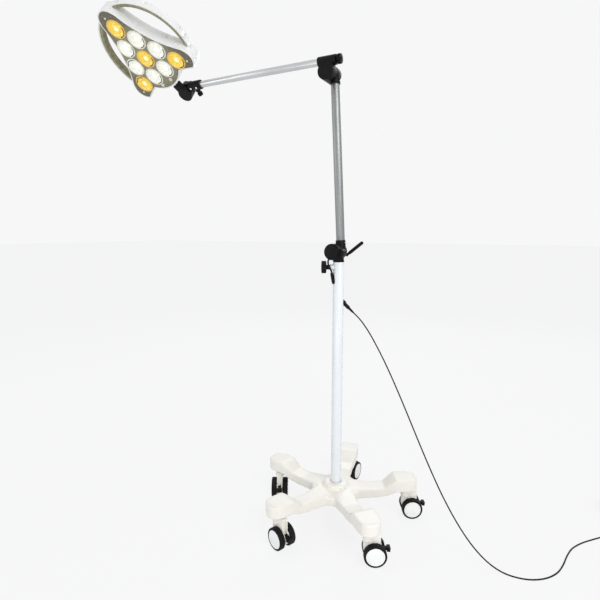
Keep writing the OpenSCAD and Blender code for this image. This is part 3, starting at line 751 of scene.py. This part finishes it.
for kind, places in LENS_ROWS.items():
    rings = [on_head(ring("bezel", BEZEL_IN, BEZEL_OUT, BEZEL_T), lens_place(i, j))
             for i, j in places]
    bezel = join(rings, f"{kind}_lens_bezels")
    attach(clad(bezel, bezels[kind]), "head")
    print(kind, "bezels:", len(rings))

# %% [markdown]
# ## Lenses
# Each lens is a moulded optic: a rounded lip, a ribbed cone inside it and a clear dome over the
# diode. It grows from one disc by insets: each inset steps inwards and up or down. The ribs are
# the cone's own points, raised and lowered in turn.

# %% Lens optic
LENS_R = 25
LENS_BACK, LENS_T = -11.5, 13.0
RIBS = 12
RIB_FROM, RIB_TO, RIB_LIFT = 12, 20.5, 0.7
LENS_STEPS = [(0.9, 0.0), (1.1, -1.1), (1.4, -1.3), (4.0, -2.6), (4.2, -2.2), (2.4, 0.2),
              (1.2, 2.6), (2.0, 1.6), (2.6, 0.9), (2.4, 0.3)]


def lens_optic(name):
    clear()
    bpy.ops.mesh.primitive_circle_add(vertices=RIBS * 6, radius=LENS_R * MM, fill_type="NGON")
    piece = bpy.context.object
    piece.name = name
    edit(piece, "FACE")
    bpy.ops.mesh.select_all(action="SELECT")
    bpy.ops.transform.translate(value=(0, 0, LENS_BACK * MM))
    bpy.ops.mesh.extrude_region_move(TRANSFORM_OT_translate={"value": (0, 0, LENS_T * MM)})
    for inward, lift in LENS_STEPS:
        bpy.ops.mesh.inset(thickness=inward * MM, depth=lift * MM)
    done(piece)
    outward(piece)
    for vertex in piece.data.vertices:
        radius = math.hypot(vertex.co.x, vertex.co.y) / MM
        if RIB_FROM < radius < RIB_TO and vertex.co.z > -0.01:
            angle = math.atan2(vertex.co.y, vertex.co.x)
            fade = min(1, (RIB_TO - radius) / 3)
            vertex.co.z += RIB_LIFT * MM * math.cos(RIBS * angle) * fade
    soften(piece, 0.25 * MM, segments=2, angle=28)
    reach = piece.data.attributes.new("reach", "FLOAT", "POINT")
    for vertex, value in zip(piece.data.vertices, reach.data):
        value.value = math.hypot(vertex.co.x, vertex.co.y) / (LENS_R * MM)
    return piece


for kind, finish in (("warm", warm), ("cool", cool)):
    group = [on_head(lens_optic("optic"), lens_place(i, j), turn=math.radians(10 * (i + 2 * j)))
             for i, j in LENS_ROWS[kind]]
    optics = join(group, f"{kind}_optics")
    seat(clad(optics, finish), f"lenses_{kind}")
    print(kind, "optics:", len(group), "lenses,", len(optics.data.polygons), "faces")

# %% [markdown]
# A small dark arc at each optic's edge, on the wrist's side for most of them, is painted shade:
# the shadow in the gap between the lens and its cup.

# %% Painted shade arcs at the lens edges


def shade_arc_strip(name, radius, width, height, spread):
    """A short curved strip, lying on z = 0 and centred on the +X side."""
    clear()
    bpy.ops.mesh.primitive_plane_add(size=1)
    piece = bpy.context.object
    piece.name = name
    piece.scale = (width * MM, height * MM, 1)
    piece.rotation_euler = (math.radians(90), 0, 0)
    piece.location = (radius * MM, 0, height * MM / 2)
    place(piece)
    edit(piece, "FACE")
    bpy.ops.mesh.select_all(action="SELECT")
    bpy.ops.transform.rotate(value=spread / 2, orient_axis="Z", center_override=(0, 0, 0))
    bpy.ops.mesh.spin(steps=14, angle=spread, center=(0, 0, 0), axis=(0, 0, 1))
    done(piece)
    first = min(math.atan2(v.co.y, v.co.x) for v in piece.data.vertices)
    final = max(math.atan2(v.co.y, v.co.x) for v in piece.data.vertices)
    piece.rotation_euler = (0, 0, -(first + final) / 2)
    place(piece)
    outward(piece)
    return soften(piece, 0.3 * MM, segments=2)


SHADE_ARC_R, SHADE_ARC_W, SHADE_ARC_H = 23.6, 1.8, 2.4
SHADE_ARC_SPREAD = math.radians(96)
UPPER_SHADE_ARCS = [(0, 3), (0, 2)]
# Each dark arc is painted shade, a black strip where the gap between lens and cup lies in shadow.
shade_arcs = []
for i, j in LENS_ROWS["warm"] + LENS_ROWS["cool"]:
    toward = math.radians(95 if (i, j) in UPPER_SHADE_ARCS else -62)
    shade_arcs.append(on_head(shade_arc_strip("shade_arc", SHADE_ARC_R, SHADE_ARC_W, SHADE_ARC_H, SHADE_ARC_SPREAD),
                         lens_place(i, j), turn=toward))
shade_arc = join(shade_arcs, "lens_painted_shade_arcs")
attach(clad(shade_arc, black), "head")
print("clips:", len(shade_arcs))

# %% [markdown]
# ## Ribbed grips
# Inside the ring lie two grips, 22 mm deep, with fine ribs that run round the ring; their khaki is
# painted shade on the ring's inner face. One ribbed section, drawn as a row of points with every
# other one raised, is spun round the middle.

# %% Grips
GRIP_IN, GRIP_OUT = 143, 151.2
GRIP_FRONT, GRIP_DEPTH = 21, 22
GRIP_RIBS = 11


def ribbed_grip(name, start, spread):
    """A grip from one angle round the ring's middle, in degrees, with its ribs facing inwards."""
    clear()
    bpy.ops.mesh.primitive_plane_add(size=1)
    piece = bpy.context.object
    piece.name = name
    piece.scale = ((GRIP_OUT - GRIP_IN) * MM, GRIP_DEPTH * MM, 1)
    piece.rotation_euler = (math.radians(90), 0, 0)
    piece.location = ((GRIP_IN + GRIP_OUT) / 2 * MM, 0, -(GRIP_FRONT + GRIP_DEPTH / 2) * MM)
    place(piece)
    mesh = edit(piece, "EDGE")
    bpy.ops.mesh.select_all(action="DESELECT")
    for edge in mesh.edges:
        edge.select = all(v.co.x < (GRIP_IN + 1) * MM for v in edge.verts)
    bmesh.update_edit_mesh(piece.data)
    bpy.ops.mesh.subdivide(number_cuts=GRIP_RIBS * 2 - 1)
    inner = sorted((v for v in mesh.verts if v.co.x < (GRIP_IN + 1) * MM), key=lambda v: v.co.z)
    for n, vertex in enumerate(inner[1:-1]):
        vertex.co.x += 0.9 * MM * (n % 2 == 1)
    inner[0].co.x += 1.0 * MM
    inner[-1].co.x += 1.0 * MM
    bmesh.update_edit_mesh(piece.data)
    bpy.ops.mesh.select_all(action="SELECT")
    bpy.ops.transform.rotate(value=-math.radians(start), orient_axis="Z",
                             center_override=(0, 0, 0))
    bpy.ops.mesh.spin(steps=48, angle=-math.radians(spread), center=(0, 0, 0), axis=(0, 0, 1))
    done(piece)
    outward(piece)
    angles = [math.degrees(math.atan2(v.co.y, v.co.x)) for v in piece.data.vertices]
    print(name, "runs from", round(min(angles)), "to", round(max(angles)), "degrees")
    smooth(piece, 25)
    return on_head(piece)


grips = join([ribbed_grip("grip_right", -15, 90), ribbed_grip("grip_left", 105, 90)],
             "ring_grips")
seat(clad(grips, grip), "handle_grips")

# %% [markdown]
# ## Floor and backdrop
# A pale floor keeps the lamp's soft shadow. To the camera, and in reflections, both the floor and
# the world behind it read as the same near-white paper, without any more light on the lamp.

# %% Floor and world
PAPER = (0.93, 0.93, 0.935)
PAPER_SHARE = 0.88
clear()
bpy.ops.mesh.primitive_plane_add(size=60, location=(0, 0, 0))
floor = bpy.context.object
floor.name = "studio_floor"
floor_finish = Finish("studio_paper", (0.8, 0.8, 0.8), 0.9)
tree = floor_finish.tree
glow = tree.nodes.new("ShaderNodeEmission")
glow.inputs["Color"].default_value = (*PAPER, 1)
glow.inputs["Strength"].default_value = 1.03
mixer = tree.nodes.new("ShaderNodeMixShader")
rays = tree.nodes.new("ShaderNodeLightPath")
seen = Wire(tree, rays.outputs["Is Camera Ray"]) + Wire(tree, rays.outputs["Is Glossy Ray"])
seen = (seen + Wire(tree, rays.outputs["Is Transmission Ray"])).clamped() * PAPER_SHARE
tree.links.new(seen.socket, mixer.inputs[0])
tree.links.new(floor_finish.shader.outputs[0], mixer.inputs[1])
tree.links.new(glow.outputs[0], mixer.inputs[2])
tree.links.new(mixer.outputs[0], tree.nodes["Material Output"].inputs["Surface"])
clad(floor, floor_finish)

world = bpy.data.worlds.new("studio_world")
scene.world = world
world.use_nodes = True
sky = world.node_tree
light = sky.nodes["Background"]
light.inputs["Color"].default_value = (0.94, 0.97, 1.0, 1)
light.inputs["Strength"].default_value = 0.55
paper = sky.nodes.new("ShaderNodeBackground")
paper.inputs["Color"].default_value = (*PAPER, 1)
paper.inputs["Strength"].default_value = 1.0
swap = sky.nodes.new("ShaderNodeMixShader")
rays = sky.nodes.new("ShaderNodeLightPath")
seen = Wire(sky, rays.outputs["Is Camera Ray"]) + Wire(sky, rays.outputs["Is Glossy Ray"])
seen = (seen + Wire(sky, rays.outputs["Is Transmission Ray"])).clamped()
sky.links.new(seen.socket, swap.inputs[0])
sky.links.new(light.outputs[0], swap.inputs[1])
sky.links.new(paper.outputs[0], swap.inputs[2])
sky.links.new(swap.outputs[0], sky.nodes["World Output"].inputs["Surface"])
scene.view_settings.view_transform = "Standard"
print("floor and world ready")

# %% [markdown]
# ## Studio lights
# A large soft light from the camera's right and above makes the tubes' bright side, a weaker one
# from the left fills, and one behind lifts the edges. Soft lamps are wide area lamps.

# %% Lights


def soft_light(name, at, size, power, towards=(-0.1, 0, 0.8), colour=(1, 1, 1)):
    clear()
    bpy.ops.object.light_add(type="AREA", location=at)
    lamp = bpy.context.object
    lamp.name = name
    lamp.data.shape = "RECTANGLE"
    lamp.data.size, lamp.data.size_y = size
    lamp.data.energy = power
    lamp.data.color = colour
    lamp.rotation_euler = (Vector(towards) - Vector(at)).to_track_quat("-Z", "Y").to_euler()
    return lamp


soft_light("key_light", (2.6, -1.6, 2.4), (1.6, 2.4), 62)
soft_light("fill_light", (-2.6, -2.0, 1.6), (1.6, 2.0), 16)
soft_light("rim_light", (-0.6, 2.6, 2.4), (2.4, 1.2), 28)
soft_light("low_light", (0.3, -2.4, 0.35), (2.2, 0.6), 9, towards=(-0.4, 0, 1.0))
